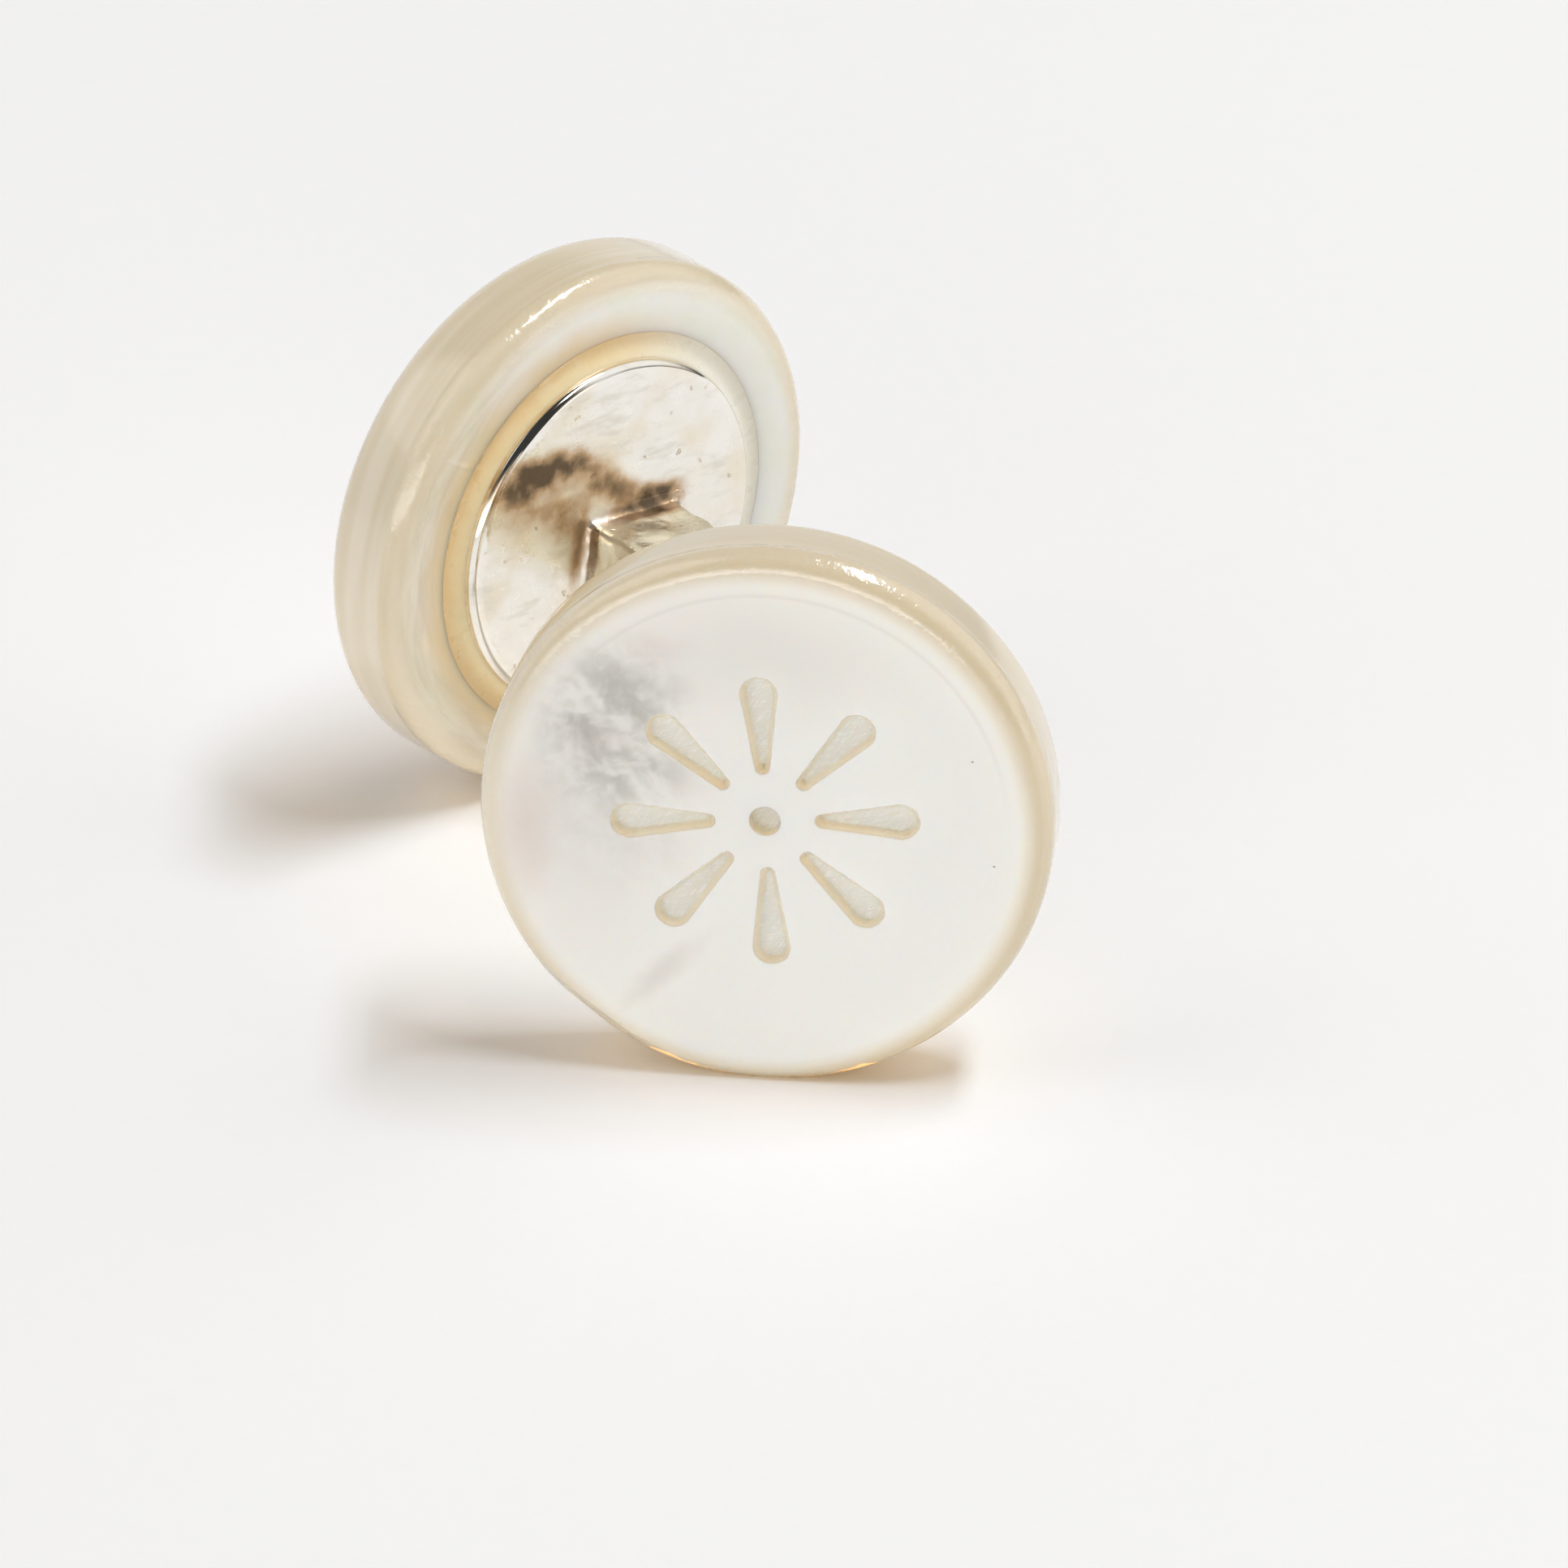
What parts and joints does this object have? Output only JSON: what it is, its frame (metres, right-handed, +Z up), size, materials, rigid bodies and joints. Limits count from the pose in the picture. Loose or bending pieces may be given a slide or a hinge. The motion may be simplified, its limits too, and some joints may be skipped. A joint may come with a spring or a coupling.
{
  "type": "double-ended cufflink",
  "caption": "Double-ended cufflink: two thick mother-of-pearl discs, one engraved with a plain rosette, on silver plates joined by a rigid curved silver bar.",
  "frame": {"origin": "on the surface that the cufflink lies on, under the middle of its box", "axes": "+Y from the engraved front disc to the plain rear disc, +X towards the side on which the bar bulges, +Z up"},
  "size_m": [0.0142, 0.0266, 0.0148],
  "materials": {
    "shell": "polished mother of pearl, near white and clouded on the faces, warm cream and layered on the wall",
    "silver": "polished silver, slightly wavy, with small pits and brown tarnish at the solder",
    "cement": "translucent honey-coloured cement, glossy"
  },
  "bodies": {
    "root": {"front_disc": "shell", "rear_disc": "shell", "link": "silver", "front_cement": "cement", "rear_cement": "cement"}
  },
  "joints": []
}
